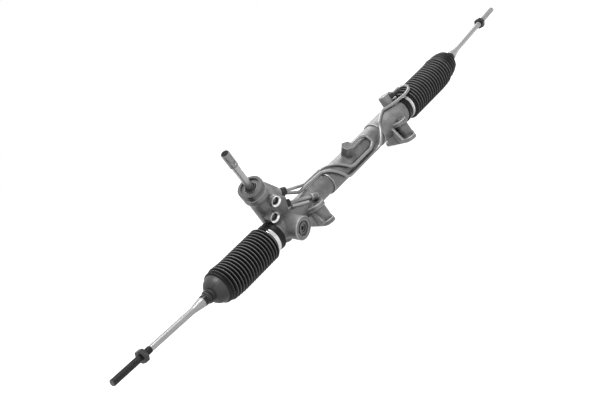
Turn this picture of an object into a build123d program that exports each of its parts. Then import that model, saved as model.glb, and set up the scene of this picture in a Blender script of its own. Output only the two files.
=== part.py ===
"""Hydraulic power steering rack, in millimetres, +Z up.

The origin is the centre of the two subframe bolts, on the pad plane. +X runs along the rack
towards the cylinder end, and the rack's own axis lies RACK_Y behind and RACK_Z above the origin.
"""
from build123d import *
from math import acos, cos, pi, radians, sin, tan
import os

# --- Driving dimensions ---------------------------------------------------------------------
# Fits
RUN = 0.06                # radial running clearance of a shaft or slide in its bore
SEAT = 0.05               # clearance between pieces that are pressed or clamped together
SOFT = 0.3                # clearance round a soft or ball-shaped piece

# Feet
FOOT_SPAN = 300.0         # between the two bolt axes
RACK_Y = 30.0             # rack axis behind the bolts
RACK_Z = 45.0             # rack axis above the pads
BOLT_HOLE_R = 6.5
SLEEVE_R = 8.0
POST_R = 11.5
POST_TOP = 40.0           # top of the bolt bosses above the pads
PAD_T = 8.0
PAD_RIM = 3.5             # width of the raised rim round a pad's pocket
PAD_FLOOR = 5.0
WALL_T = 5.0
EAR_T = 8.0
WALL_SLANT = 18.0         # left wall of a foot, off square to the rack, in degrees
BACK_WALL_Y = 18.0
NEAR_PAD = ((-6, -9.5, 12), (0, 0, 12.5), (12, 56, 6), (46, 50, 6))          # x, y, radius from the bolt
FAR_PAD = ((-17, -16, 12.5), (0, 0, 13), (2, 58, 6), (46, 50, 6))
NEAR_WALL = (-14.0, -8.0)                # front foot of the left wall
FAR_WALL = (-26.0, -8.0)
PEEP_HOLE = (-10.0, 19.0, 3.5)           # x, height, radius, in the far foot

# Rack bar, housing and cylinder tube
RACK_R = 13.0
NEAR_STOP = -245.0        # faces that end the rack's travel, inside the two spigots
FAR_STOP = 196.0
SPIGOT_R = 24.0           # spigots that carry the bellows
SPIGOT_BORE_R = 19.5
SPIGOT_L = 27.0
BARREL_R = 21.5
NECK_R = 19.5
BORE_R = 14.6
TUBE_R = 22.5
TUBE_BORE_R = 19.6
TUBE_START = -78.0
TUBE_END = 172.0
CASTING_START = 100.0
CASTING_WALL = 3.0
CASTING_R = TUBE_R + CASTING_WALL
BUSH_R = 18.0
INNER_SEAL_X = -30.0
SEAL_W = 10.0
PISTON_X = 100.0
PISTON_W = 12.0
RING_DEPTH = 3.0
RING_W = 5.0
MID_PORT_X = -3.0
MID_PORT_ANGLE = 48.0     # port block above the front of the tube, in degrees
MID_PORT_TOP = 42.0
MID_PORT_R = 11.0
END_PORT_X = 183.0
END_PORT_R = 11.5
END_PORT_TOP = 46.0

# Steering gear
MODULE = 1.75
TEETH = 8
PRESSURE_ANGLE = 25.0
SHIFT = 0.45              # profile shift of the pinion, in modules
BACKLASH = 0.10           # taken off the pinion, and again off the rack, at the pitch line
PINION_TIP_R = 9.2
PINION_L = 30.0
RACK_PLANE = 7.6          # height of the rack's reference line above its axis
RACK_TEETH = 30
FIRST_TOOTH = -11         # first tooth's place, counted from the pinion
PINION_X = -212.0         # where the pinion axis crosses the rack
PINION_TILT = 21.0        # pinion axis off square to the rack
PINION_LEAN = 26.0        # pinion axis leaning forward from upright

# Valve tower: heights are along the pinion axis, from its nearest point to the rack
LOWER_BEARING = (-34.0, -20.0)
LOWER_JOURNAL_R = 6.0
UPPER_BEARING = (20.0, 32.0)
UPPER_JOURNAL_R = 9.0
BEARING_T = 6.0           # radial thickness of both bearings
PINION_HEAD_R = 12.0
VALVE_R = 16.5
VALVE_SLEEVE = (44.0, 88.0)
GROOVES = (52.0, 64.0, 76.0)
GROOVE_W = 4.0
GROOVE_D = 1.5
ROTOR_R = 9.5
SHAFT_START = 46.0
SHAFT_R = 6.5
SPLINE_R = 8.0
SPLINE_L = 33.0
SHAFT_TOP = 201.0
BOLT_NOTCH_R = 4.2        # notch across the splines for the column's clamp bolt
BOLT_NOTCH_AT = 10.0
TORSION_R = 3.0
TORSION_START = 30.0
TOWER_R = 20.5
TOWER_COLLAR_R = 23.5
TOWER_COLLAR = (78.0, 86.0)   # where the tower swells to its collar
TOWER_TOP = 96.0
LOWER_BOSS_R = 17.0
LOWER_BOSS_END = -38.0
CAP_R = 23.75
CAP_TOP = 110.0
CAP_RECESS_R = 18.0
CAP_RECESS = 4.0
CAP_GROOVES = (6.0, 9.5)  # grooves round the cap, above the tower
CAP_GROOVE_W = 1.2
CAP_GROOVE_D = 0.8
SEAL_R = 12.0
PORT_TURN = -14.0         # port direction about the pinion axis, from the yoke's
PORT_R = 7.0
PORT_RIM_R = 10.0
PORT_DEPTH = 9.0
PORT_CHAMFER = 2.4
OILWAY_R = 2.5
PORTS = {"upper": (12.8, 65.5, 28.0), "lower": (-7.0, 44.7, 30.0)}                   # side, height, reach
BLOCK_OUTLINE = ((0, 94), (26, 91), (41.5, 54), (32, 38), (27, 22), (18, 14), (0, 8))    # side, height
BLOCK_FRONT = 18.0
BLOCK_BACK = 9.0
FLANK_POINT = (27.0, 0.0, 88.5)          # side, depth, height
FLANK_NORMAL = (0.693, -0.621, 0.365)
PIPE_SEATS = {"a": (35.5, -7.0, 52.5), "b": (37.0, 6.0, 40.0), "c": (28.0, -8.0, 27.5)}  # side, depth, height
SEAT_BOSS_R = 8.4
SPOT_FACE_R = 9.2         # room for a nut in front of its seat
SPOT_FACE_L = 16.0
# Points that the pipes leave towards, from the rack's axis
PIPE_AIMS = {"a": (-176.6, -35.2, 45.1), "b": (-150.0, -9.6, 26.3), "c": (-145.0, -23.0, 8.0)}
PIPE_NUT_AF = 14.0
PIPE_NUT_L = 11.0
PIPE_NUT_IN = 8.0
PIPE_SEAT_R = 5.5

# Yoke: heights are along its own axis, from the rack axis
YOKE_R = 15.0
YOKE_BOSS_R = 21.8
YOKE_BOSS_TOP = 42.0
YOKE_BACK = 5.0
YOKE_FRONT = 26.0
YOKE_POCKET = 6.0
PLUG_IN = 31.0

# Tie rods: distances are outwards from the ball's centre
NEAR_BALL_X = -322.0
FAR_BALL_X = 319.0
BALL_R = 12.0
SEAT_WALL = 2.6
ROD_LENGTH = 332.0
SOCKET_WALL = 6.5         # from the ball to the socket's outside
SOCKET_R = BALL_R + SOCKET_WALL
SOCKET_BACK = 26.0
SOCKET_FRONT = 8.0
MOUTH_ANGLE = 64.0        # half angle of the socket's mouth
STUD_R = 8.0
STUD_L = 12.0
NEAR_RISE = 2.3           # how far each rod rises towards its tip as the part lies, in degrees
FAR_RISE = 2.9
WASHER_T = 2.0
NECK_SHANK_R = 6.5
BOOT_SHANK_R = 8.0
BOOT_SEAT = 112.0         # outer end of the bellows' seat on the rod
COLLAR_R = 9.6
SHANK_R = 5.5
THREAD_R = 6.0
THREAD_L = 58.0            # full thread, outside the jam nut
RUN_OUT_R = 5.7           # undercut thread beneath and inside the jam nut
RUN_OUT_L = 30.0
JAM_NUT_AF = 21.0
JAM_NUT_H = 10.0
JAM_NUT_AT = 260.0

# Pipes
PIPE_R = 3.0
PIPE_GAP = 0.7            # between a pipe and the metal that it runs along
PIPE_BEND = 13.0

# Bellows: heights are from the cuff's end towards the rod
CUFF_WALL = 2.0
CUFF_R = SPIGOT_R + CUFF_WALL
LIP_H = 1.2               # rim at the cuff's end
LIP_R = CUFF_R + LIP_H
CUFF_L = 24.0
ROOT_R = CUFF_R + 1.0
FOLD_DEPTH = 5.3
CREST_R = ROOT_R + FOLD_DEPTH
BELLOWS_WALL = 1.6
BELLOWS_NECK_L = 11.0
NEAR_FOLDS, NEAR_PITCH = 17, 7.2
FAR_FOLDS, FAR_PITCH = 17, 8.7
DOME_LAP = 1.5            # how far the dome reaches into the last fold
CLAMP_AT = 14.0
CLAMP_W = 8.0

# --- Directions and frames ------------------------------------------------------------------
LEAN, TILT = radians(PINION_LEAN), radians(PINION_TILT)
PINION_DIR = Vector(-sin(TILT), -cos(TILT) * sin(LEAN), cos(TILT) * cos(LEAN))
YOKE_DIR = Vector(0, -cos(LEAN), -sin(LEAN))
MESH_DIR = YOKE_DIR * -1
PITCH_R = MODULE * TEETH / 2
PINION_OFFSET = RACK_PLANE + PITCH_R + SHIFT * MODULE
TOOTH_PITCH = pi * MODULE
RACK_PITCH = TOOTH_PITCH / cos(TILT)


def at_rack(x, y=0.0, z=0.0):
    """A point given from the rack's axis."""
    return Vector(x, RACK_Y + y, RACK_Z + z)


def at_angle(angle):
    """A direction square to the rack, by its angle above the front."""
    return Vector(0, -cos(radians(angle)), sin(radians(angle)))


PINION_ORIGIN = at_rack(PINION_X) + MESH_DIR * PINION_OFFSET
PORT_DIR = YOKE_DIR.rotate(Axis((0, 0, 0), PINION_DIR), PORT_TURN)
SIDE_DIR = PINION_DIR.cross(PORT_DIR)

RACK = Plane(origin=at_rack(0), x_dir=(0, 1, 0), z_dir=(1, 0, 0))
GEAR = Plane(origin=PINION_ORIGIN, x_dir=PINION_DIR.cross(YOKE_DIR), z_dir=PINION_DIR)
VALVE = Plane(origin=PINION_ORIGIN, x_dir=SIDE_DIR, z_dir=PINION_DIR)       # its -Y is the port side
YOKE = Plane(origin=at_rack(PINION_X), x_dir=(1, 0, 0), z_dir=YOKE_DIR)
MID_PORT = Plane(origin=at_rack(MID_PORT_X), x_dir=(1, 0, 0), z_dir=at_angle(MID_PORT_ANGLE))
END_PORT = Plane(origin=at_rack(END_PORT_X), x_dir=(1, 0, 0), z_dir=(0, 0, 1))


def across_rack(x, side):
    """A frame on the rack's axis whose normal points outwards, to one end."""
    return Plane(origin=at_rack(x), x_dir=(0, 1, 0), z_dir=(side, 0, 0))


def along_rod(x, side, rise):
    """A frame at a ball's centre whose normal points along its rod."""
    direction = Vector(side * cos(radians(rise)), 0, sin(radians(rise)))
    return Plane(origin=at_rack(x), x_dir=(0, 1, 0), z_dir=direction)


NEAR_SOCKET = across_rack(NEAR_BALL_X, -1)
FAR_SOCKET = across_rack(FAR_BALL_X, 1)
NEAR_ROD = along_rod(NEAR_BALL_X, -1, NEAR_RISE)
FAR_ROD = along_rod(FAR_BALL_X, 1, FAR_RISE)
NEAR_CUFF = across_rack(NEAR_STOP - 1, -1)
FAR_CUFF = across_rack(FAR_STOP + 1, 1)


def bolt_plane(x):
    return Plane(origin=(x, 0, 0), x_dir=(1, 0, 0), z_dir=(0, 0, 1))


# --- Shared forms ---------------------------------------------------------------------------
def bar(plane, radius, start, end):
    """A cylinder along a plane's normal, from one height to another."""
    return plane * Pos(0, 0, (start + end) / 2) * Cylinder(radius, end - start)


def ring(plane, outer, inner, start, end):
    return bar(plane, outer, start, end) - bar(plane, inner, start - 1, end + 1)


def turned(plane, points):
    """A solid of revolution about a plane's normal, from (radius, height) corners."""
    outline = make_face(Polyline(*[(r, 0, z) for r, z in points], close=True))
    return plane * revolve(outline, Axis.Z)


def hexagon(plane, flats, start, end):
    return plane * Pos(0, 0, start) * extrude(RegularPolygon(flats / 2, 6, major_radius=False), end - start)


def bevelled_nut(plane, flats, bore, start, end):
    """Hexagon nut with both faces turned down to a circle."""
    corner = flats / 2 / cos(pi / 6)
    rim, rise = corner - 0.55 * (corner - flats / 2) - 0.8, 0.9
    turning = turned(plane, [(0, start), (rim, start), (corner, start + rise), (corner, end - rise), (rim, end),
                             (0, end)])
    return (hexagon(plane, flats, start, end) & turning) - bar(plane, bore, start - 1, end + 1)


# --- Gear teeth -----------------------------------------------------------------------------
def half_tooth(radius):
    """Half the angle that a pinion tooth spans at a radius."""
    alpha = radians(PRESSURE_ANGLE)
    base = PITCH_R * cos(alpha)
    at_pitch = (MODULE * (pi / 2 + 2 * SHIFT * tan(alpha)) - BACKLASH) / (2 * PITCH_R)
    here = acos(min(1.0, base / radius))
    return at_pitch + (tan(alpha) - alpha) - (tan(here) - here)


def polar(radius, angle):
    return Vector(radius * cos(angle), radius * sin(angle))


def pinion_teeth():
    """Involute teeth with a space towards the rack."""
    base = PITCH_R * cos(radians(PRESSURE_ANGLE))
    root = PITCH_R + (SHIFT - 1.25) * MODULE
    steps = 6
    radii = [base + (PINION_TIP_R - base) * i / (steps - 1) for i in range(steps)]
    turn = 2 * pi / TEETH
    foot = half_tooth(base)
    edges = []
    for i in range(TEETH):
        mid = (i + 0.5) * turn - pi / 2
        left = [polar(r, mid - half_tooth(r)) for r in radii]
        right = [polar(r, mid + half_tooth(r)) for r in reversed(radii)]
        edges += [Line(polar(root, mid - foot), left[0]), Spline(left), Line(left[-1], right[0])]
        edges += [Spline(right), Line(right[-1], polar(root, mid + foot))]
        edges += [Line(polar(root, mid + foot), polar(root, mid + turn - foot))]
    return GEAR * Pos(0, 0, -PINION_L / 2) * extrude(make_face(edges), PINION_L)


def tooth_spaces():
    """The spaces cut across the rack, prismatic along the pinion's axis."""
    slope = tan(radians(PRESSURE_ANGLE))
    top, floor = 3 * MODULE, -1.25 * MODULE
    half = (TOOTH_PITCH / 2 + BACKLASH) / 2
    space = make_face(Polyline((-half - top * slope, top), (-half - floor * slope, floor),
                               (half + floor * slope, floor), (half + top * slope, top), close=True))
    reach = RACK_R / cos(TILT) + 2
    frame = Plane(origin=at_rack(PINION_X) + MESH_DIR * RACK_PLANE, x_dir=GEAR.x_dir, z_dir=PINION_DIR)
    cutter = frame * Pos(0, 0, -reach) * extrude(space, 2 * reach)
    places = [(FIRST_TOOTH + i + 0.5) * RACK_PITCH for i in range(RACK_TEETH)]
    return [Pos(place, 0, 0) * cutter for place in places]


# --- Rack body ------------------------------------------------------------------------------
def rack_bar():
    """Round bar with a toothed flat and a threaded stud at each end."""
    start = NEAR_BALL_X + SOCKET_BACK
    end = FAR_BALL_X - SOCKET_BACK
    body = bar(RACK, RACK_R, start + WASHER_T, end - WASHER_T) + bar(RACK, STUD_R, start - STUD_L, end + STUD_L)
    first = PINION_X + FIRST_TOOTH * RACK_PITCH
    length = RACK_TEETH * RACK_PITCH
    tips = Plane(origin=at_rack(first + length / 2) + MESH_DIR * (RACK_PLANE + MODULE), x_dir=(1, 0, 0), z_dir=MESH_DIR)
    body -= tips * Pos(0, 0, RACK_R / 2) * Box(length, 3 * RACK_R, RACK_R)
    return body - tooth_spaces()


def piston():
    half = PISTON_W / 2
    outer = TUBE_BORE_R - 0.4
    floor = TUBE_BORE_R - RING_DEPTH
    return turned(RACK, [(RACK_R + SEAT, PISTON_X - half), (outer, PISTON_X - half), (outer, PISTON_X - RING_W / 2),
                         (floor, PISTON_X - RING_W / 2), (floor, PISTON_X + RING_W / 2),
                         (outer, PISTON_X + RING_W / 2), (outer, PISTON_X + half), (RACK_R + SEAT, PISTON_X + half)])


def piston_ring():
    half = RING_W / 2 - SEAT
    return ring(RACK, TUBE_BORE_R - RUN, TUBE_BORE_R - RING_DEPTH + SEAT, PISTON_X - half, PISTON_X + half)


# --- Inner ball joints and tie rods -----------------------------------------------------------
def socket(frame):
    """Housing of an inner ball joint, with a mouth as wide as the rod's swing needs."""
    mouth = tan(radians(MOUTH_ANGLE))
    cavity, floor, lip = BALL_R + SEAT_WALL, -BALL_R - 1.5, 5.4
    body = turned(frame, [(0, -SOCKET_BACK), (SOCKET_R, -SOCKET_BACK), (SOCKET_R, SOCKET_FRONT - 2),
                          (SOCKET_R - 2, SOCKET_FRONT), (0, SOCKET_FRONT)])
    body -= turned(frame, [(0, floor), (cavity, floor), (cavity, 1), (lip * mouth, lip),
                           ((SOCKET_FRONT + 1) * mouth, SOCKET_FRONT + 1), (0, SOCKET_FRONT + 1)])
    flats = Box(3 * SOCKET_R, 3 * SOCKET_R, 8) - Box(3 * SOCKET_R, 2 * SOCKET_R - 4, 8)
    body -= frame * Pos(0, 0, 6 - SOCKET_BACK) * flats
    return body - bar(frame, STUD_R + SEAT, -SOCKET_BACK - 1, -SOCKET_BACK + STUD_L + SOFT)


def ball_seat(frame):
    """Plastic cup between a socket and its ball."""
    body = bar(frame, BALL_R + SEAT_WALL - SEAT, -BALL_R - 1.5 + SEAT, 0)
    return body - frame * Sphere(BALL_R + SOFT)


def lock_washer(frame):
    return ring(frame, SOCKET_R - 0.5, STUD_R + SEAT, -SOCKET_BACK - WASHER_T + SEAT, -SOCKET_BACK - SEAT)


def ball(frame):
    return frame * Sphere(BALL_R)


def tie_rod(frame):
    """Rod from the ball's neck to the outer thread, with the bellows' seat and collar."""
    thread = ROD_LENGTH - THREAD_L
    run_out = thread - RUN_OUT_L
    body = turned(frame, [(0, 6), (NECK_SHANK_R, 6), (NECK_SHANK_R, 40), (BOOT_SHANK_R, 46),
                          (BOOT_SHANK_R, BOOT_SEAT), (COLLAR_R, BOOT_SEAT + 1), (COLLAR_R, BOOT_SEAT + 9),
                          (SHANK_R, BOOT_SEAT + 34), (SHANK_R, run_out - 2), (RUN_OUT_R, run_out),
                          (RUN_OUT_R, thread), (THREAD_R, thread),
                          (THREAD_R, ROD_LENGTH - 1.2), (THREAD_R - 1.2, ROD_LENGTH), (0, ROD_LENGTH)])
    return body - frame * Sphere(BALL_R + SEAT)


def jam_nut(frame):
    return bevelled_nut(frame, JAM_NUT_AF, THREAD_R + RUN, JAM_NUT_AT, JAM_NUT_AT + JAM_NUT_H)


# --- Pinion and input shaft -------------------------------------------------------------------
def pinion():
    top = VALVE_SLEEVE[0]
    body = pinion_teeth()
    body += bar(GEAR, LOWER_JOURNAL_R, LOWER_BEARING[0] + 1, 1 - PINION_L / 2)
    body += bar(GEAR, UPPER_JOURNAL_R, PINION_L / 2 - 1, top - 6)
    body += bar(GEAR, PINION_HEAD_R, UPPER_BEARING[1] + 1, top)
    return body - bar(GEAR, TORSION_R + SEAT, TORSION_START, top + 1)


def torsion_bar():
    """Thin spring steel bar, pinned in the pinion and running up inside the input shaft."""
    return bar(GEAR, TORSION_R, TORSION_START + SEAT, SHAFT_TOP - 22)


def valve_sleeve():
    """Ported sleeve round the rotor, with a groove for each seal ring."""
    body = ring(GEAR, VALVE_R - RUN, ROTOR_R + RUN, VALVE_SLEEVE[0] + SEAT, VALVE_SLEEVE[1])
    for height in GROOVES:
        body -= ring(GEAR, VALVE_R + 1, VALVE_R - GROOVE_D, height, height + GROOVE_W)
    return body


def sleeve_ring(height):
    return ring(GEAR, VALVE_R - RUN, VALVE_R - GROOVE_D + SEAT, height + SEAT, height + GROOVE_W - SEAT)


def input_shaft():
    """Rotor, journal and splined head turned in one, hollow for the torsion bar."""
    head = SHAFT_TOP - SPLINE_L
    shoulder = VALVE_SLEEVE[1] + 2
    bore = TORSION_R + RUN
    body = turned(GEAR, [(bore, SHAFT_START), (ROTOR_R, SHAFT_START), (ROTOR_R, shoulder), (SHAFT_R, shoulder + 2.5),
                         (SHAFT_R, head - 8), (SPLINE_R, head), (SPLINE_R, SHAFT_TOP - 1.5),
                         (SPLINE_R - 1.5, SHAFT_TOP), (0, SHAFT_TOP), (0, SHAFT_TOP - 21), (bore, SHAFT_TOP - 21)])
    notch = Pos(SPLINE_R + 2, 0, head + BOLT_NOTCH_AT) * Rot(90, 0, 0) * Cylinder(BOLT_NOTCH_R, 30)
    return body - GEAR * notch


# --- Castings and tube ------------------------------------------------------------------------
def hulled(circles, thickness):
    """A plate round several circles, each (x, y, radius)."""
    edges = []
    for x, y, radius in circles:
        edges += (Pos(x, y) * Circle(radius)).edges()
    return extrude(make_hull(edges), thickness)


def foot_wall(place, slant, length, lean):
    """Upright wall from the pad to the barrel, its front edge leaning back by a distance."""
    x, y = place
    along = Vector(sin(radians(slant)), cos(radians(slant)), 0)
    plane = Plane(origin=(x, y, 0), x_dir=along, z_dir=along.cross(Vector(0, 0, 1)))
    profile = make_face(Polyline((0, PAD_T / 2), (length, PAD_T / 2), (length, RACK_Z), (lean, RACK_Z - 6), close=True))
    return plane * extrude(profile, WALL_T / 2, both=True)


def foot(x, pad, wall):
    """Mounting foot: rimmed pad, bolt post, top ear, two side walls and a back wall."""
    plane = bolt_plane(x)
    body = hulled(pad, PAD_T)
    pocket = [(px, py, radius - PAD_RIM) for px, py, radius in pad]
    body -= Pos(0, 0, PAD_FLOOR) * hulled(pocket, PAD_T)
    body += Pos(0, 0, POST_TOP - EAR_T) * hulled([(0, 0, POST_R + 3), (-12, 24, 5), (30, 24, 5)], EAR_T)
    body += foot_wall(wall, WALL_SLANT, 56, 16) + foot_wall((11, 2), 45, 44, 8)
    left = wall[0] + 4
    body += Pos((left + 30) / 2, BACK_WALL_Y, 16) * Box(30 - left, WALL_T, 28)
    return plane * body + bar(plane, POST_R, 0, POST_TOP)


def bolt_hole(x):
    return bar(bolt_plane(x), SLEEVE_R + SEAT, -1, POST_TOP + 1)


def port_frame(side, height, reach):
    """A frame on a port's face, looking out of it."""
    return Plane(origin=VALVE.from_local_coords((side, -reach, height)), x_dir=SIDE_DIR, z_dir=PORT_DIR)


def port_hole(frame):
    """A threaded port with a broad chamfer, and its oilway to the valve."""
    edge, oilway = PORT_R + PORT_CHAMFER, -PORT_DEPTH - 8
    return turned(frame, [(0, oilway), (OILWAY_R, oilway), (OILWAY_R, -PORT_DEPTH), (PORT_R, -PORT_DEPTH),
                          (PORT_R, -PORT_CHAMFER), (edge, 0), (edge, 1), (0, 1)])


def pipe_seat(name):
    """A frame where a pipe leaves the valve block, looking along the pipe."""
    origin = VALVE.from_local_coords(PIPE_SEATS[name])
    return Plane(origin=origin, x_dir=PINION_DIR, z_dir=at_rack(*PIPE_AIMS[name]) - origin)


def gallery_mouth():
    """A frame where the short pipe enters the barrel, looking back at its seat."""
    end = at_rack(*PIPE_AIMS["c"])
    return Plane(origin=end, x_dir=PINION_DIR, z_dir=pipe_seat("c").origin - end)


def valve_block():
    """Shoulder on the tower's side that carries the pipe seats, with a sloping flank."""
    outline = Plane.XZ * make_face(Polyline(*BLOCK_OUTLINE, close=True))
    block = Pos(0, BLOCK_BACK, 0) * extrude(outline, BLOCK_FRONT + BLOCK_BACK)
    flank = Plane(origin=FLANK_POINT, z_dir=FLANK_NORMAL)
    return VALVE * (block - flank * Pos(0, 0, 60) * Box(240, 240, 120))


def pinion_housing():
    """Casting round the rack, the pinion, the valve and the yoke, with the near foot."""
    near_foot = -FOOT_SPAN / 2
    body = bar(RACK, SPIGOT_R, NEAR_STOP - SPIGOT_L, NEAR_STOP + 4)
    body += bar(RACK, NECK_R + 1, NEAR_STOP, PINION_X)
    body += bar(RACK, BARREL_R, PINION_X - 16, near_foot + 22)
    body += bar(RACK, NECK_R, near_foot + 20, INNER_SEAL_X - 4)
    low, high = TOWER_COLLAR
    body += turned(VALVE, [(0, 4), (TOWER_R, 4), (TOWER_R, low), (TOWER_COLLAR_R, high),
                           (TOWER_COLLAR_R, TOWER_TOP), (0, TOWER_TOP)])
    body += bar(VALVE, LOWER_BOSS_R, LOWER_BOSS_END, 6)
    body += valve_block()
    for place in PORTS.values():
        body += bar(port_frame(*place), PORT_RIM_R, -place[2], 0)
    for name in PIPE_SEATS:
        body += bar(pipe_seat(name), SEAT_BOSS_R, -16, 0)
    body += bar(gallery_mouth(), SEAT_BOSS_R - 2, -14, 0)
    body += bar(YOKE, YOKE_BOSS_R, 0, YOKE_BOSS_TOP)
    body += foot(near_foot, NEAR_PAD, NEAR_WALL)
    body -= ring(RACK, LIP_R + 1.5, SPIGOT_R, NEAR_STOP - SPIGOT_L, NEAR_STOP)
    body -= bar(RACK, SPIGOT_BORE_R, NEAR_STOP - SPIGOT_L - 1, NEAR_STOP)
    body -= bar(RACK, BORE_R, NEAR_STOP - 1, INNER_SEAL_X)
    body -= bar(VALVE, LOWER_JOURNAL_R + BEARING_T, LOWER_BEARING[0], LOWER_BEARING[1])
    body -= bar(VALVE, PINION_TIP_R + 0.8, LOWER_BEARING[1] - 1, UPPER_BEARING[0] + 1)
    body -= bar(VALVE, UPPER_JOURNAL_R + BEARING_T, UPPER_BEARING[0], UPPER_BEARING[1] + 1)
    body -= bar(VALVE, VALVE_R, UPPER_BEARING[1] + 1, TOWER_TOP + 1)
    body -= bar(YOKE, YOKE_R + RUN, YOKE_BACK - 1, YOKE_BOSS_TOP + 1)
    for place in PORTS.values():
        body -= port_hole(port_frame(*place))
    for name in PIPE_SEATS:
        body -= bar(pipe_seat(name), SPOT_FACE_R, 0, SPOT_FACE_L)
        body -= bar(pipe_seat(name), PIPE_SEAT_R, -PIPE_NUT_IN - 2, 1)
    body -= bar(gallery_mouth(), PIPE_R + SEAT, -PIPE_NUT_IN, SPOT_FACE_L)
    return body - bolt_hole(near_foot)


def cylinder_tube():
    body = ring(RACK, TUBE_R, TUBE_BORE_R, TUBE_START, TUBE_END)
    return body - bar(MID_PORT, PIPE_R, TUBE_BORE_R - 4, TUBE_R + 4)


def end_casting():
    """Far casting: cylinder end, bushing seat, far foot and the upright port boss."""
    far_foot = FOOT_SPAN / 2
    body = bar(RACK, CASTING_R, CASTING_START, FAR_STOP) + bar(RACK, SPIGOT_R, FAR_STOP - 1, FAR_STOP + SPIGOT_L)
    body += foot(far_foot, FAR_PAD, FAR_WALL)
    body += bar(END_PORT, END_PORT_R, CASTING_R - 10, END_PORT_TOP)
    body -= bar(RACK, TUBE_R + SEAT, CASTING_START - 1, TUBE_END)
    body -= bar(RACK, BUSH_R + SEAT, TUBE_END - 1, FAR_STOP - 5)
    body -= bar(RACK, BORE_R, FAR_STOP - 6, FAR_STOP)
    body -= bar(RACK, SPIGOT_BORE_R, FAR_STOP, FAR_STOP + SPIGOT_L + 1)
    x, height, radius = PEEP_HOLE
    body -= Pos(far_foot + x, BACK_WALL_Y, height) * Rot(90, 0, 0) * Cylinder(radius, 4 * WALL_T)
    return body - bar(end_port_side(), PIPE_SEAT_R, -PIPE_NUT_IN - 2, 1) - bolt_hole(far_foot)


def end_port_side():
    """A frame on the end port's side, where its pipe enters."""
    return Plane(origin=at_rack(END_PORT_X + END_PORT_R, 0, END_PORT_TOP - 10), z_dir=(1, 0, 0))


def mid_port_side():
    """A frame on the middle port's side, where its pipe enters."""
    return Plane(origin=MID_PORT.from_local_coords((MID_PORT_R, 0, MID_PORT_TOP - 9)), z_dir=(1, 0, 0))


def mid_port():
    """Brazed port block, saddled to fit the tube."""
    block = RegularPolygon(MID_PORT_R, 6, major_radius=False, rotation=30)
    body = MID_PORT * Pos(0, 0, TUBE_R - 6) * extrude(block, MID_PORT_TOP - TUBE_R + 6)
    body -= bar(RACK, TUBE_R + SEAT, MID_PORT_X - 30, MID_PORT_X + 30)
    return body - bar(mid_port_side(), PIPE_SEAT_R, -6, 1)


# --- Seals, bushing, sleeves and bearings -----------------------------------------------------
def rack_bushing():
    return ring(RACK, BUSH_R, RACK_R + RUN, TUBE_END + SEAT, FAR_STOP - 5 - SEAT)


def rack_seal(start, outer):
    return ring(RACK, outer, RACK_R + RUN, start, start + SEAL_W)


def bolt_sleeve(x):
    return ring(bolt_plane(x), SLEEVE_R, BOLT_HOLE_R, 0, POST_TOP)


def lower_bearing():
    return ring(GEAR, LOWER_JOURNAL_R + BEARING_T - SEAT, LOWER_JOURNAL_R + RUN, *LOWER_BEARING)


def upper_bearing():
    """Ball bearing, its two races parted by a groove."""
    middle = UPPER_JOURNAL_R + BEARING_T / 2
    body = ring(GEAR, UPPER_JOURNAL_R + BEARING_T - SEAT, UPPER_JOURNAL_R + RUN, *UPPER_BEARING)
    return body - ring(GEAR, middle + 0.8, middle - 0.8, UPPER_BEARING[0] - 1, UPPER_BEARING[0] + 2)


def bottom_cap():
    return bar(GEAR, LOWER_BOSS_R - 4, LOWER_BOSS_END - 4, LOWER_BOSS_END - SEAT)


def input_cap():
    """Cap screwed on the tower, with a recess round the seal."""
    low, top = TOWER_TOP - 5, CAP_TOP
    body = turned(GEAR, [(SEAL_R, low), (VALVE_R - SEAT, low), (VALVE_R - SEAT, TOWER_TOP + SEAT),
                         (CAP_R - 1, TOWER_TOP + SEAT), (CAP_R - 1, TOWER_TOP + 3), (CAP_R, TOWER_TOP + 3.5),
                         (CAP_R, top - 1.2), (CAP_R - 1.2, top), (CAP_RECESS_R, top),
                         (CAP_RECESS_R, top - CAP_RECESS), (SEAL_R, top - CAP_RECESS)])
    for height in CAP_GROOVES:
        body -= ring(GEAR, CAP_R + 1, CAP_R - CAP_GROOVE_D, TOWER_TOP + height, TOWER_TOP + height + CAP_GROOVE_W)
    return body


def input_seal():
    """Lip seal with a raised collar round the shaft."""
    bore, outer, floor = SHAFT_R + RUN, SEAL_R - SEAT, CAP_TOP - CAP_RECESS
    return turned(GEAR, [(bore, floor - 7), (outer, floor - 7), (outer, floor + 0.5), (outer - 1.6, floor + 3),
                         (outer - 3.6, floor + 3), (bore, floor)])


# --- Yoke -------------------------------------------------------------------------------------
def yoke():
    """Shoe that cups the rack's back."""
    body = bar(YOKE, YOKE_R, YOKE_BACK, YOKE_FRONT) - bar(RACK, RACK_R + RUN, PINION_X - 40, PINION_X + 40)
    return body - bar(YOKE, YOKE_R / 2 + 1, YOKE_FRONT - YOKE_POCKET, YOKE_FRONT + 1)


def yoke_spring():
    """Coil spring between the shoe and the plug."""
    wire, radius, turns = 1.1, 6.0, 3
    start = YOKE_FRONT - YOKE_POCKET + wire + SEAT
    length = PLUG_IN - wire - SEAT - start
    helix = Helix(pitch=length / turns, height=length, radius=radius)
    section = Plane(origin=helix @ 0, z_dir=helix % 0) * RegularPolygon(wire, 6)
    return YOKE * Pos(0, 0, start) * sweep(section, path=helix)


def yoke_plug():
    """Threaded plug with a ringed face and a hexagon socket."""
    face = YOKE_BOSS_TOP - 1.6
    body = turned(YOKE, [(0, PLUG_IN), (YOKE_R, PLUG_IN), (YOKE_R, face), (13, face), (13, face - 2.2), (10.6, face - 2.2),
                         (10.6, face + 0.4), (7.8, face + 0.4), (7.8, face - 1.2), (0, face - 1.2)])
    return body - hexagon(YOKE, 7.0, PLUG_IN + 4, YOKE_BOSS_TOP)


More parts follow.
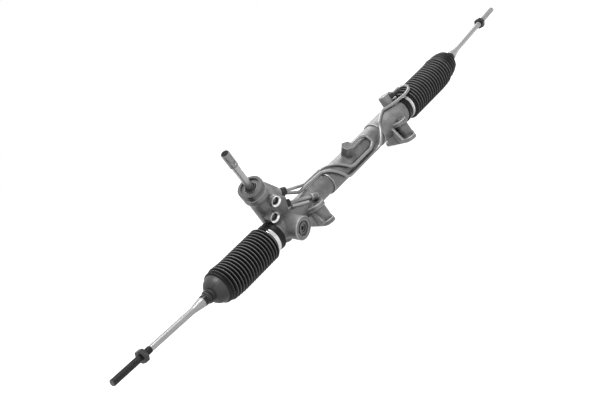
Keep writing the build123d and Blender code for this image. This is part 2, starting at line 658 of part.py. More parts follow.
# --- Pipes --------------------------------------------------------------------------------------
def beside_tube(x, angle, gap=PIPE_GAP):
    """Centre of a pipe that runs close round the tube."""
    return at_rack(x) + at_angle(angle) * (TUBE_R + PIPE_R + gap)


def winding(start, end, steps, gap=PIPE_GAP):
    """Points of a pipe that winds round the tube between two (x, angle) places."""
    (x0, a0), (x1, a1) = start, end
    return [beside_tube(x0 + (x1 - x0) * i / steps, a0 + (a1 - a0) * i / steps, gap) for i in range(steps + 1)]


def pipe(points):
    """A tube of straight runs and arcs through the points, each arc as large as its runs allow."""
    radii = []
    for before, here, after in zip(points, points[1:], points[2:]):
        turn = radians((here - before).get_angle(after - here))
        room = 0.45 * min((here - before).length, (after - here).length) / tan(turn / 2)
        radii.append(min(PIPE_BEND, room))
    path = FilletPolyline(*points, radius=radii)
    return sweep(Plane(origin=path @ 0, z_dir=path % 0) * Circle(PIPE_R), path=path)


def leaving(frame, distance):
    return frame.from_local_coords((0, 0, distance))


OVER_CASTING = CASTING_R - TUBE_R + PIPE_GAP


def pipe_a():
    """From the upper seat over the tube, down its front, and back up to the middle port."""
    seat, port = pipe_seat("a"), mid_port_side()
    points = [leaving(seat, PIPE_NUT_L - 3), at_rack(*PIPE_AIMS["a"])]
    points += [beside_tube(-120, 96, 1.5), beside_tube(-70, 96)]
    points += winding((-62, 82), (-25, -6), 6) + [beside_tube(-13, -13), beside_tube(46, -13)]
    points += winding((59, 2), (59, 42), 3) + [leaving(port, 32), leaving(port, -1)]
    return pipe(points)


def pipe_b():
    """From the rear seat along the tube and under it, up over the end casting and into its port."""
    seat, port = pipe_seat("b"), end_port_side()
    points = [leaving(seat, PIPE_NUT_L - 3), at_rack(*PIPE_AIMS["b"]), beside_tube(-80, 68)]
    points += winding((-72, 52), (-42, -30), 5) + [beside_tube(-32, -40), beside_tube(58, -40)]
    points += winding((70, -32), (106, 38), 5, OVER_CASTING + 0.5)
    points += [beside_tube(147, 70, OVER_CASTING + 0.5), beside_tube(176, 54, OVER_CASTING + 0.5)]
    points += [beside_tube(190, 49, 5.2), beside_tube(214, 42, 9), beside_tube(233, 45, 11), beside_tube(240, 64, 11.6)]
    points += [beside_tube(234, 84, 11.2), leaving(port, 30), leaving(port, PIPE_NUT_L - 3)]
    return pipe(points)


def pipe_c():
    """Short straight pipe from the lowest seat down to the barrel."""
    seat = pipe_seat("c")
    length = (at_rack(*PIPE_AIMS["c"]) - seat.origin).length
    return bar(seat, PIPE_R, PIPE_NUT_L - 3, length + PIPE_NUT_IN - 1)


def pipe_nut(frame, inset):
    """Flare nut screwed into a seat, with a plain nose inside it."""
    body = bevelled_nut(frame, PIPE_NUT_AF, PIPE_R + SEAT, SEAT, PIPE_NUT_L)
    return body + ring(frame, PIPE_SEAT_R - SEAT, PIPE_R + SEAT, -inset, 1)


# --- Bellows and their clamps -------------------------------------------------------------------
def bellows(cuff, rod, folds, pitch):
    """Rubber gaiter: cuff on the spigot, folds, and a dome turned about the rod down to its neck."""
    end = CUFF_L + 1 + folds * pitch
    outer = [(LIP_R, 0), (LIP_R, 4), (CUFF_R, 5), (CUFF_R, CUFF_L)]
    for i in range(folds):
        start = CUFF_L + 1 + i * pitch
        outer += [(ROOT_R, start), (CREST_R, start + pitch / 2)]
    outer.append((ROOT_R, end))
    inner = [(ROOT_R - BELLOWS_WALL, end), (ROOT_R - BELLOWS_WALL, CUFF_L + 8), (SPIGOT_R + SEAT, CUFF_L + 3),
             (SPIGOT_R + SEAT, 0)]
    begin = abs(cuff.origin.X - rod.origin.X) * -1 + end
    bore, top = BOOT_SHANK_R + SOFT, BOOT_SEAT - 1
    neck = top - BELLOWS_NECK_L
    rise = (neck - begin) / 4
    low, high = begin - DOME_LAP, begin + DOME_LAP
    dome = [(ROOT_R - 4.6, low), (ROOT_R + 3, low), (CREST_R - 1, begin + rise), (CREST_R - 6, begin + 2 * rise),
            (CREST_R - 14, begin + 3.2 * rise), (bore + 2.2, neck), (bore + 2.2, top), (bore, top), (bore, neck),
            (CREST_R - 16, begin + 3 * rise), (ROOT_R - BELLOWS_WALL, begin + rise), (ROOT_R - 4.6, high)]
    return turned(cuff, outer + inner) + turned(rod, dome)


def band_clamp(frame):
    return ring(frame, CUFF_R + 1, CUFF_R + SEAT, CLAMP_AT, CLAMP_AT + CLAMP_W)


def rod_clip(frame):
    """Spring clip round the bellows' small end."""
    neck = BOOT_SHANK_R + SOFT + 2.2
    return ring(frame, neck + 1.5, neck + SEAT, BOOT_SEAT - 8, BOOT_SEAT - 4)


# --- Every node -----------------------------------------------------------------------------------
NODES = {
    "pinion_housing": pinion_housing(),
    "cylinder_tube": cylinder_tube(),
    "end_casting": end_casting(),
    "bolt_sleeve_near": bolt_sleeve(-FOOT_SPAN / 2),
    "bolt_sleeve_far": bolt_sleeve(FOOT_SPAN / 2),
    "mid_port": mid_port(),
    "inner_rack_seal": rack_seal(INNER_SEAL_X, TUBE_BORE_R - SEAT),
    "outer_rack_seal": rack_seal(TUBE_END - SEAL_W, TUBE_BORE_R - SEAT),
    "rack_bushing": rack_bushing(),
    "yoke": yoke(),
    "yoke_spring": yoke_spring(),
    "yoke_plug": yoke_plug(),
    "lower_bearing": lower_bearing(),
    "upper_bearing": upper_bearing(),
    "bottom_cap": bottom_cap(),
    "input_cap": input_cap(),
    "input_seal": input_seal(),
    "pipe_a": pipe_a(),
    "pipe_b": pipe_b(),
    "pipe_c": pipe_c(),
    "pipe_nut_a": pipe_nut(pipe_seat("a"), PIPE_NUT_IN),
    "pipe_nut_b": pipe_nut(pipe_seat("b"), PIPE_NUT_IN),
    "pipe_nut_c": pipe_nut(pipe_seat("c"), PIPE_NUT_IN),
    "pipe_nut_end": pipe_nut(end_port_side(), PIPE_NUT_IN),
    "bellows_near": bellows(NEAR_CUFF, NEAR_ROD, NEAR_FOLDS, NEAR_PITCH),
    "bellows_far": bellows(FAR_CUFF, FAR_ROD, FAR_FOLDS, FAR_PITCH),
    "band_clamp_near": band_clamp(NEAR_CUFF),
    "band_clamp_far": band_clamp(FAR_CUFF),
    "rack_bar": rack_bar(),
    "piston": piston(),
    "piston_ring": piston_ring(),
    "pinion": pinion(),
    "torsion_bar": torsion_bar(),
    "valve_sleeve": valve_sleeve(),
    "input_shaft": input_shaft(),
}
for number, groove in enumerate(GROOVES, start=1):
    NODES[f"sleeve_ring_{number}"] = sleeve_ring(groove)
for end, joint, rod in (("near", NEAR_SOCKET, NEAR_ROD), ("far", FAR_SOCKET, FAR_ROD)):
    NODES[f"socket_{end}"] = socket(joint)
    NODES[f"ball_seat_{end}"] = ball_seat(joint)
    NODES[f"lock_washer_{end}"] = lock_washer(joint)
    NODES[f"ball_{end}"] = ball(rod)
    NODES[f"tie_rod_{end}"] = tie_rod(rod)
    NODES[f"jam_nut_{end}"] = jam_nut(rod)
    NODES[f"rod_clip_{end}"] = rod_clip(rod)

os.makedirs("parts", exist_ok=True)
for name, shape in NODES.items():
    export_step(shape, f"parts/{name}.step")
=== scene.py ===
import bmesh
import bpy
import math
from mathutils import Matrix, Vector


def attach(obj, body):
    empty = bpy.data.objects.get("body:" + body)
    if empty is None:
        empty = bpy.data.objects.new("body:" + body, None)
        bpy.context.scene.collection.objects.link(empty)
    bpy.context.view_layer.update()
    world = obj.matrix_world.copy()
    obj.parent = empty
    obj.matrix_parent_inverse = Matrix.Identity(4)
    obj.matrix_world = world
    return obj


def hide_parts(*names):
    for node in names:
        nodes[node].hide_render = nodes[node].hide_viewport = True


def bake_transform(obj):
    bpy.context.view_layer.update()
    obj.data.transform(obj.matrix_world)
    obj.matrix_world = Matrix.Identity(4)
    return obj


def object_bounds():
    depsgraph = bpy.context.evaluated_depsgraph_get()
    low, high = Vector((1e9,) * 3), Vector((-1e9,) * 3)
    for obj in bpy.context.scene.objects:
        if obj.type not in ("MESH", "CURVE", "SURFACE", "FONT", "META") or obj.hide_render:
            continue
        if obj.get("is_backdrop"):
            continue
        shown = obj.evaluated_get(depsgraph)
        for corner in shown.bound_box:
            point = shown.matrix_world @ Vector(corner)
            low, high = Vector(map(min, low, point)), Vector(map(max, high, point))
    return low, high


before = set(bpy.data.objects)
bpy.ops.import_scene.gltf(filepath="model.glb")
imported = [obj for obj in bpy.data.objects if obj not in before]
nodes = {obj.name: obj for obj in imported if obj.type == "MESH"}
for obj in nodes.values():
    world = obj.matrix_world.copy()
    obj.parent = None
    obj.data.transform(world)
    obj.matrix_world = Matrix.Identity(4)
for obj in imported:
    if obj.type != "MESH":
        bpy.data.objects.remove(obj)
cadLow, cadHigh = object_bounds()
print("frame loaded", len(nodes), "nodes")

mm = 0.001
rackY, rackZ = 0.030, 0.045       # the rack's own axis, which runs along X


# ---------- shader maths ----------

class Num:
    # a number socket that adds Math nodes when it meets a Python operator
    def __init__(self, finish, socket):
        self.finish, self.socket = finish, socket

    def math(self, operation, *others):
        inputs = dict(enumerate((self, *others)))
        return Num(self.finish, self.finish.add("ShaderNodeMath", {"operation": operation}, inputs).outputs[0])

    def __add__(self, other):
        return self.math("ADD", other)

    def __sub__(self, other):
        return self.math("SUBTRACT", other)

    def __mul__(self, other):
        return self.math("MULTIPLY", other)

    def __rsub__(self, other):
        inputs = {0: other, 1: self}
        return Num(self.finish, self.finish.add("ShaderNodeMath", {"operation": "SUBTRACT"}, inputs).outputs[0])

    __radd__ = __add__

    def above(self, low, high):
        # 0 under low, 1 over high, smooth between
        settings = {"interpolation_type": "SMOOTHSTEP"}
        node = self.finish.add("ShaderNodeMapRange", settings, {"Value": self, "From Min": low, "From Max": high})
        return Num(self.finish, node.outputs[0])


class Finish:
    # a material whose Principled shader is fed by added nodes
    def __init__(self, name, colour, rough, metal=0.0, **fixed):
        self.material = bpy.data.materials.new(name)
        self.material.use_nodes = True
        self.tree = self.material.node_tree
        self.shader = self.tree.nodes["Principled BSDF"]
        self.feed(self.shader, "Base Color", colour)
        self.feed(self.shader, "Roughness", rough)
        self.feed(self.shader, "Metallic", metal)
        for key, value in fixed.items():
            self.feed(self.shader, key.replace("_", " "), value)
        self.place = self.add("ShaderNodeTexCoord").outputs["Object"]

    def feed(self, node, key, value):
        socket = node.inputs[key]
        if isinstance(value, Num):
            value = value.socket
        if isinstance(value, bpy.types.NodeSocket):
            self.tree.links.new(value, socket)
        elif hasattr(socket.default_value, "__len__") and len(value) < len(socket.default_value):
            socket.default_value = (*value, 1.0)
        else:
            socket.default_value = value

    def add(self, kind, settings=None, inputs=None):
        node = self.tree.nodes.new(kind)
        for key, value in (settings or {}).items():
            setattr(node, key, value)
        for key, value in (inputs or {}).items():
            self.feed(node, key, value)
        return node

    def noise(self, scale, detail=2.0, rough=0.5):
        inputs = {"Vector": self.place, "Scale": scale, "Detail": detail, "Roughness": rough}
        return Num(self, self.add("ShaderNodeTexNoise", None, inputs).outputs[0])

    def mix(self, amount, first, second):
        # colours are (r, g, b) or sockets
        node = self.add("ShaderNodeMix", {"data_type": "RGBA"})
        self.feed(node, 0, amount)
        self.feed(node, 6, first)
        self.feed(node, 7, second)
        return node.outputs[2]

    def across(self, origin, axis):
        # distance from an axis, and place along it, in metres
        axis = Vector(axis).normalized()
        away = self.add("ShaderNodeVectorMath", {"operation": "SUBTRACT"}, {0: self.place, 1: tuple(origin)})
        along = self.add("ShaderNodeVectorMath", {"operation": "DOT_PRODUCT"}, {0: away.outputs[0], 1: tuple(axis)})
        crossed = self.add("ShaderNodeVectorMath", {"operation": "CROSS_PRODUCT"}, {0: away.outputs[0], 1: tuple(axis)})
        length = self.add("ShaderNodeVectorMath", {"operation": "LENGTH"}, {0: crossed.outputs[0]})
        return Num(self, length.outputs["Value"]), Num(self, along.outputs["Value"])

    def bump(self, height, depth):
        inputs = {"Height": height, "Distance": depth, "Strength": 1.0}
        node = self.add("ShaderNodeBump", None, inputs)
        self.feed(self.shader, "Normal", node.outputs[0])

    def base(self, value):
        self.feed(self.shader, "Base Color", value)

    def rough(self, value):
        self.feed(self.shader, "Roughness", value)


def grey(value, warm=0.0):
    return (value * (1 + warm), value, value * (1 - warm))


# ---------- places ----------

# the pinion tilts along the rack and leans away from the yoke's side
pinionTilt, pinionLean = math.radians(21), math.radians(26)
pinionGap = 0.0153875              # between the rack's axis and the pinion's
portTurn = math.radians(-14)
pinionDir = Vector((-math.sin(pinionTilt), -math.cos(pinionTilt) * math.sin(pinionLean),
                    math.cos(pinionTilt) * math.cos(pinionLean)))
yokeDir = Vector((0, -math.cos(pinionLean), -math.sin(pinionLean)))
yokeOrigin = Vector((-0.212, rackY, rackZ))
pinionOrigin = yokeOrigin - yokeDir * pinionGap
portDir = Matrix.Rotation(portTurn, 3, pinionDir) @ yokeDir
sideDir = pinionDir.cross(portDir)
rackLine = Vector((0, rackY, rackZ))
alongX = Vector((1, 0, 0))
rods = {
    # ball's place along the rack in mm, side, and how far the rod rises towards its tip in degrees
    "near": {"ball": -322.0, "side": -1, "rise": 2.3},
    "far": {"ball": 319.0, "side": 1, "rise": 2.9},
}
for rod in rods.values():
    turn = math.radians(rod["rise"])
    rod["origin"] = rackLine + alongX * rod["ball"] * mm
    rod["dir"] = Vector((rod["side"] * math.cos(turn), 0, math.sin(turn)))


# ---------- finishes ----------

castLook = {
    "metal": 0.35, "rough": 0.34,
    "blotch": 34, "grain": 850, "pits": 380,               # noise scales
    "blotchEdge": (0.3, 0.7), "pitEdge": (0.6, 0.74),
    # the ridge values set a painted highlight along ridges, the hollow values a painted shade in hollows
    "ridgeHighlightEdge": (0.51, 0.545), "paintedShadeEdge": (0.45, 0.494),
    "dark": 0.68, "light": 1.25, "pitTone": 0.4,           # shares of the tone
    "paintedShadeTone": 0.06, "ridgeHighlightTone": 3, "ridgeHighlightLimit": 0.85,
    "pitMix": 0.6, "paintedShadeMix": 0.95, "ridgeHighlightMix": 0.75, "pitDepth": 1.2,
}


def castAlloy(name, tone, depth=0.0003):
    # sand-cast alloy: painted shade darkens the hollows, and ridges are lightened as painted highlight with some rubbed
    # wear
    look = castLook
    finish = Finish(name, grey(tone), look["rough"], look["metal"])
    blotch = finish.noise(look["blotch"], 4, 0.6)
    grain = finish.noise(look["grain"], 3, 0.6)
    pits = finish.noise(look["pits"], 2).above(*look["pitEdge"])
    bend = Num(finish, finish.add("ShaderNodeNewGeometry").outputs["Pointiness"])
    # ridges get a painted highlight, hollows a painted shade
    ridgeHighlight = bend.above(*look["ridgeHighlightEdge"])
    paintedShade = 1 - bend.above(*look["paintedShadeEdge"])
    colour = finish.mix(blotch.above(*look["blotchEdge"]), grey(tone * look["dark"]), grey(tone * look["light"]))
    colour = finish.mix(pits * look["pitMix"], colour, grey(tone * look["pitTone"]))
    # painted shade in the hollows, then a painted highlight on the ridges
    colour = finish.mix(paintedShade * look["paintedShadeMix"], colour, grey(tone * look["paintedShadeTone"]))
    ridgeHighlightColour = grey(min(look["ridgeHighlightLimit"], tone * look["ridgeHighlightTone"]))
    finish.base(finish.mix(ridgeHighlight * look["ridgeHighlightMix"], colour, ridgeHighlightColour))
    finish.rough(look["rough"] + blotch * 0.14 + grain * 0.08 - ridgeHighlight * 0.08)
    finish.bump(grain - pits * look["pitDepth"], depth)
    return finish.material


def turnedSteel(name, tone, origin, axis, rough=0.28, metal=0.6, pitch=1400, darkFrom=None, darkTo=None):
    # fine rings round an axis, as a lathe leaves them, with one stretch left dark if asked
    depth, edge = 0.000015, 0.0003
    finish = Finish(name, grey(tone), rough, metal)
    far, along = finish.across(origin, axis)
    rings = (far * pitch * 2.3).math("SINE") + (along * pitch * 3.1).math("SINE")
    smear = finish.noise(60, 3)
    colour = finish.mix(smear, grey(tone * 0.85), grey(tone * 1.12))
    if darkTo:
        inside = along.above(darkFrom, darkFrom + edge) * (1 - along.above(darkTo, darkTo + edge))
        colour = finish.mix(inside, colour, grey(0.012))
    finish.base(colour)
    finish.rough(rough - 0.06 + smear * 0.12)
    finish.bump(rings, depth)
    return finish.material


def paintedSteel(name, tone, rough, metal):
    finish = Finish(name, grey(tone), rough, metal)
    cloud = finish.noise(22, 4)
    speck = finish.noise(700, 2)
    finish.base(finish.mix(cloud, grey(tone * 0.82), grey(tone * 1.14)))
    finish.rough(rough - 0.05 + cloud * 0.12)
    finish.bump(speck, 0.00008)
    return finish.material


def darkOxide(name, tone=0.02, rough=0.38, worn=3.2):
    finish = Finish(name, grey(tone), rough, 0.7)
    cloud = finish.noise(160, 4, 0.6)
    finish.base(finish.mix(cloud.above(0.55, 0.75), grey(tone), grey(tone * worn)))
    finish.rough(rough - 0.06 + cloud * 0.2)
    finish.bump(finish.noise(1500, 2), 0.00004)
    return finish.material


def plainFinish(name, colour, rough, metal=0.0, scale=500):
    finish = Finish(name, colour, rough, metal)
    grain = finish.noise(scale, 3)
    finish.base(finish.mix(grain, tuple(c * 0.85 for c in colour), tuple(min(1, c * 1.12) for c in colour)))
    finish.rough(rough - 0.05 + grain * 0.1)
    finish.bump(grain, 0.00004)
    return finish.material


bellowsLook = {
    "black": 0.0012,         # the folds' own tone
    "crestHighlight": 0.17,           # grey painted highlight along the crests
    "dome": 0.06,            # painted sheen lightening the smooth end towards the rod
    "shine": 0.40,
}


def bellowsRubber(name):
    look = bellowsLook
    finish = Finish(name, grey(look["black"]), look["shine"], Specular_IOR_Level=0.22)
    crest = Num(finish, finish.add("ShaderNodeAttribute", {"attribute_name": "crest"}).outputs["Fac"])
    dome = Num(finish, finish.add("ShaderNodeAttribute", {"attribute_name": "dome"}).outputs["Fac"])
    cloud = finish.noise(45, 3)
    # painted highlight along the crests, broken up by noise
    ridgeHighlight = crest.above(0.84, 0.99) * (0.55 + cloud * 0.7)
    # the smooth end is lightened by painted sheen
    body = finish.mix(dome, grey(look["black"]), grey(look["dome"]))
    finish.base(finish.mix(ridgeHighlight, body, grey(look["crestHighlight"])))
    finish.rough(look["shine"] + cloud * 0.16 - dome * 0.1)
    finish.bump(finish.noise(1200, 2), 0.00005)
    return finish.material


housingAlloy = castAlloy("housingAlloy", 0.175)
casingAlloy = castAlloy("casingAlloy", 0.195)
tubePaint = castAlloy("tubePaint", 0.175, 0.00012)
portPaint = castAlloy("portPaint", 0.12, 0.00012)
pipeZinc = paintedSteel("pipeZinc", 0.27, 0.34, 0.5)
nutOxide = darkOxide("nutOxide", 0.03)
clipOxide = darkOxide("clipOxide", 0.015, 0.45)
threadOxide = darkOxide("threadOxide", 0.055, 0.34, 1.8)
threadBright = turnedSteel("threadBright", 0.42, rods["far"]["origin"], rods["far"]["dir"], 0.34)
capSteel = turnedSteel("capSteel", 0.14, pinionOrigin, pinionDir, 0.3)
plugSteel = turnedSteel("plugSteel", 0.11, yokeOrigin, yokeDir, 0.34)
shaftSteel = turnedSteel("shaftSteel", 0.38, pinionOrigin, pinionDir, 0.3, darkFrom=0.2006, darkTo=0.3)
rodSteel = turnedSteel("rodSteel", 0.5, rackLine, alongX, 0.26)
shankNear = turnedSteel("shankNear", 0.3, rods["near"]["origin"], rods["near"]["dir"], 0.34, darkFrom=0.1125,
                        darkTo=0.1215)
shankFar = turnedSteel("shankFar", 0.34, rods["far"]["origin"], rods["far"]["dir"], 0.26)
bandSteel = turnedSteel("bandSteel", 0.62, rackLine, alongX, 0.24, 0.7, 700)
sleeveZinc = plainFinish("sleeveZinc", grey(0.45), 0.35, 0.8)
blackRubber = bellowsRubber("blackRubber")
sealRubber = plainFinish("sealRubber", grey(0.012), 0.45)
ringPlastic = plainFinish("ringPlastic", grey(0.1, 0.04), 0.5)
seatPlastic = plainFinish("seatPlastic", grey(0.62, 0.03), 0.42)
bushBronze = plainFinish("bushBronze", (0.42, 0.26, 0.11), 0.35, 0.9)
yokeAlloy = plainFinish("yokeAlloy", grey(0.45), 0.4, 0.7)

nodeFinish = {
    "pinion_housing": housingAlloy, "end_casting": casingAlloy, "cylinder_tube": tubePaint, "mid_port": portPaint,
    "bolt_sleeve_near": sleeveZinc, "bolt_sleeve_far": sleeveZinc, "inner_rack_seal": sealRubber,
    "outer_rack_seal": sealRubber, "rack_bushing": bushBronze, "yoke": yokeAlloy, "yoke_spring": rodSteel,
    "yoke_plug": plugSteel, "lower_bearing": rodSteel, "upper_bearing": rodSteel, "bottom_cap": capSteel,
    "input_cap": capSteel, "input_seal": sealRubber, "pipe_a": pipeZinc, "pipe_b": pipeZinc, "pipe_c": pipeZinc,
    "pipe_nut_a": nutOxide, "pipe_nut_b": nutOxide, "pipe_nut_c": nutOxide, "pipe_nut_end": nutOxide,
    "bellows_near": blackRubber, "bellows_far": blackRubber, "band_clamp_near": bandSteel,
    "band_clamp_far": bandSteel, "rack_bar": rodSteel, "piston": rodSteel, "piston_ring": ringPlastic,
    "pinion": shaftSteel, "torsion_bar": shaftSteel, "valve_sleeve": shaftSteel, "input_shaft": shaftSteel,
}
for number in (1, 2, 3):
    nodeFinish[f"sleeve_ring_{number}"] = ringPlastic
for end in ("near", "far"):
    nodeFinish[f"socket_{end}"] = rodSteel
    nodeFinish[f"ball_seat_{end}"] = seatPlastic
    nodeFinish[f"lock_washer_{end}"] = rodSteel
    nodeFinish[f"ball_{end}"] = rodSteel
    nodeFinish[f"tie_rod_{end}"] = rodSteel
    nodeFinish[f"jam_nut_{end}"] = nutOxide
    nodeFinish[f"rod_clip_{end}"] = clipOxide
for name, node in nodes.items():
    if not node.material_slots:
        node.data.materials.append(nodeFinish[name])
    for slot in node.material_slots:
        slot.material = nodeFinish[name]
print("finishes done")


# ---------- making pieces ----------


def placeAlong(origin, axis, across=(0, 0, 1)):
    # a matrix whose x runs along an axis from a place
    x = Vector(axis).normalized()
    y = Vector(across).cross(x).normalized()
    return Matrix.Translation(origin) @ Matrix((x, y, x.cross(y))).transposed().to_4x4()


def finishPiece(name, shape, body, material, replaced=(), crease=38):
    # turns a bmesh into an object that rides on a body, or is left unattached when body is None
    mesh = bpy.data.meshes.new(name)
    shape.to_mesh(mesh)
    shape.free()
    mesh.materials.append(material)
    mesh.shade_smooth()
    mesh.set_sharp_from_angle(angle=math.radians(crease))
    thing = bpy.data.objects.new(name, mesh)
    bpy.context.collection.objects.link(thing)
    if body:
        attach(thing, body)
    if replaced:
        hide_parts(*replaced)
    return thing


def spun(profile, steps=64, closed=True, marks=()):
    # a profile of (along, radius, *marks) in mm, spun about x and closed on itself or on the axis
    shape = bmesh.new()
    layers = [shape.verts.layers.float.new(mark) for mark in marks]
    corners = []
    for along, radius, *values in profile:
        corner = shape.verts.new((along * mm, radius * mm, 0))
        for layer, value in zip(layers, values):
            corner[layer] = value
        corners.append(corner)
    after = corners[1:] + corners[:1] if closed else corners[1:]
    edges = [shape.edges.new(pair) for pair in zip(corners, after)]
    bmesh.ops.spin(shape, geom=corners + edges, cent=(0, 0, 0), axis=(1, 0, 0), angle=math.tau, steps=steps,
                   use_merge=True)
    bmesh.ops.remove_doubles(shape, verts=shape.verts, dist=1e-6)
    bmesh.ops.recalc_face_normals(shape, faces=shape.faces)
    return shape


def placed(shape, matrix):
    bmesh.ops.transform(shape, matrix=matrix, verts=shape.verts)
    return shape


def smoothStep(value, low, high):
    share = min(1, max(0, (value - low) / (high - low)))
    return share * share * (3 - 2 * share)


# ---------- bellows ----------

bellows = {
    "lip": 27.2, "cuff": 26.0, "cuffLength": 24.0, "spigot": 24.05,
    "root": 27.0, "crest": 32.3, "sharpness": 1.4, "wall": 1.4, "samples": 10,
    "domeFold": 3.6, "domeRound": 2.6, "domeSteps": 48, "domeWall": 0.8,
    "neck": 10.5, "ring": 0.7, "bore": 8.3,
    "neckStart": 100.0, "neckEnd": 111.0,  # from the ball
    "riseFrom": -34, "riseTo": 12,         # stretch that turns up with the rod, from the dome's start
    "steps": 80,
}
bellowsEnds = {
    # cuff's end along the rack in mm, folds and their pitch, folds left on the dome and the share of it they take,
    # the two roots where the bellows is cut, and where its bend ends, in mm from the ball
    "near": {"cuff": -246.0, "folds": 17, "pitch": 7.2, "domeFolds": 2, "foldShare": 0.44, "cuts": (12, 15),
             "bendEnd": 84},
    "far": {"cuff": 197.0, "folds": 17, "pitch": 8.7, "domeFolds": 4, "foldShare": 0.86, "cuts": (15, 17),
            "bendEnd": 82},
}


def bellowsProfile(made, ball):
    # outer and inner lines, cuff to neck, each point (along, radius, crest, dome)
    b = bellows
    start, pitch = b["cuffLength"] + 1, made["pitch"]
    outer = [(0, b["lip"] - 0.5, 0, 0), (0.5, b["lip"], 0, 0), (3.6, b["lip"], 0, 0), (4.4, b["cuff"], 0, 0),
             (b["cuffLength"] - 1.4, b["cuff"], 0, 0), (b["cuffLength"], b["root"], 0, 0)]
    inner = [(0, b["spigot"], 0, 0), (start + 2, b["spigot"], 0, 0)]
    cuts = []
    count = made["folds"] * b["samples"]
    for i in range(count + 1):
        along = start + i * pitch / b["samples"]
        if i and i % b["samples"] == 0 and i // b["samples"] in made["cuts"]:
            cuts.append(along)
        height = abs(math.sin(math.pi * i / b["samples"])) ** b["sharpness"]
        radius = b["root"] + (b["crest"] - b["root"]) * height
        outer.append((along, radius, height, 0))
        if along > start + 3:
            inner.append((along, radius - b["wall"], 0, 0))
    begin = outer[-1][0]
    neck = b["neckStart"] + ball
    for i in range(1, b["domeSteps"] + 1):
        share = math.sin(math.pi / 2 * i / b["domeSteps"])
        phase = share / made["foldShare"]
        height = 0
        if phase < 1:
            height = abs(math.sin(math.pi * phase * made["domeFolds"])) ** b["sharpness"] * (1 - 0.5 * share)
        fall = max(0, 1 - share ** b["domeRound"]) ** 0.5
        radius = b["neck"] + (b["root"] - b["neck"]) * fall + b["domeFold"] * height
        along = begin + (neck - begin) * share
        thick = b["wall"] + b["domeWall"] * share
        outer.append((along, radius, height, smoothStep(phase, 0.93, 1)))
        inner.append((along, max(b["bore"], radius - thick), 0, 1))
    end = b["neckEnd"] + ball
    outer += [(neck + 2, b["neck"], 0, 1), (end - 3, b["neck"], 0, 1), (end - 2.4, b["neck"] + b["ring"], 0, 1),
              (end - 0.5, b["neck"] + b["ring"], 0, 1), (end, b["neck"], 0, 1)]
    inner.append((end, b["bore"], 0, 1))
    return outer, inner, cuts, begin


def raised(shape, rod, domeStart):
    # turns what lies beyond the ball about it, so that the outer end follows the rising rod
    ball = rod["ball"] * mm
    low, high = domeStart + bellows["riseFrom"], domeStart + bellows["riseTo"]
    for vert in shape.verts:
        out = rod["side"] * (vert.co.x - ball)
        angle = math.radians(rod["rise"]) * smoothStep(out, low * mm, high * mm)
        lift = vert.co.z - rackZ
        vert.co.x = ball + rod["side"] * (out * math.cos(angle) - lift * math.sin(angle))
        vert.co.z = rackZ + out * math.sin(angle) + lift * math.cos(angle)
    return shape


for end, made in bellowsEnds.items():
    rod = rods[end]
    side = rod["side"]
    ball = abs(rod["ball"] - made["cuff"])
    outer, inner, cuts, begin = bellowsProfile(made, ball)
    place = placeAlong(rackLine + alongX * made["cuff"] * mm, (side, 0, 0))
    limits = [-1, *cuts, 1000]           # the first and last lie past the bellows' ends
    for number in range(3):
        low, high = limits[number] - 0.001, limits[number + 1] + 0.001
        section = [point for point in outer if low <= point[0] <= high]
        section += [point for point in reversed(inner) if low <= point[0] <= high]
        shape = placed(spun(section, bellows["steps"], True, ("crest", "dome")), place)
        raised(shape, rod, begin - ball)
        name = f"bellows{end.title()}{('Cuff', 'Middle', 'Dome')[number]}"
        shell = finishPiece(name, shape, None, blackRubber, [f"bellows_{end}"], 60)
        starts = (limits[0] + bellows["cuffLength"] + 2, cuts[0], cuts[1])
        ends = (cuts[0], cuts[1], ball + made["bendEnd"])
        fromX = (made["cuff"] + side * starts[number]) * mm
        toX = (made["cuff"] + side * ends[number]) * mm
        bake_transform(shell)

# two beads left by the mould along each dome
seam = {"from": 0.46, "width": 1.5, "height": 0.35, "depth": 0.8, "angles": (-52.0, 128.0)}
for end, made in bellowsEnds.items():
    rod = rods[end]
    ball = abs(rod["ball"] - made["cuff"])
    outer, inner, cuts, begin = bellowsProfile(made, ball)
    neck = bellows["neckStart"] + ball
    first = begin + (neck - begin) * seam["from"]
    line = [(point[0], point[1]) for point in outer if first < point[0] < neck - 0.3]
    place = placeAlong(rackLine + alongX * made["cuff"] * mm, (rod["side"], 0, 0))
    for number, angle in enumerate(seam["angles"]):
        shape = bmesh.new()
        section = [(x, r + seam["height"]) for x, r in line] + [(x, r - seam["depth"]) for x, r in reversed(line)]
        corners = [shape.verts.new((x * mm, 0, r * mm)) for x, r in section]
        flat = shape.faces.new(corners)
        bmesh.ops.translate(shape, vec=(0, -seam["width"] / 2 * mm, 0), verts=shape.verts)
        lifted = bmesh.ops.extrude_face_region(shape, geom=[flat], use_keep_orig=True)["geom"]
        bmesh.ops.translate(shape, vec=(0, seam["width"] * mm, 0),
                            verts=[item for item in lifted if isinstance(item, bmesh.types.BMVert)])
        bmesh.ops.recalc_face_normals(shape, faces=shape.faces)
        placed(shape, place @ Matrix.Rotation(math.radians(angle), 4, "X"))
        raised(shape, rod, begin - ball)
        bead = finishPiece(f"bellowsSeam{end.title()}{number + 1}", shape, None, sealRubber)
        fromX = (made["cuff"] + rod["side"] * cuts[1]) * mm
        toX = (made["cuff"] + rod["side"] * (ball + made["bendEnd"])) * mm
        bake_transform(bead)
print("bellows done")


# ---------- clamps ----------

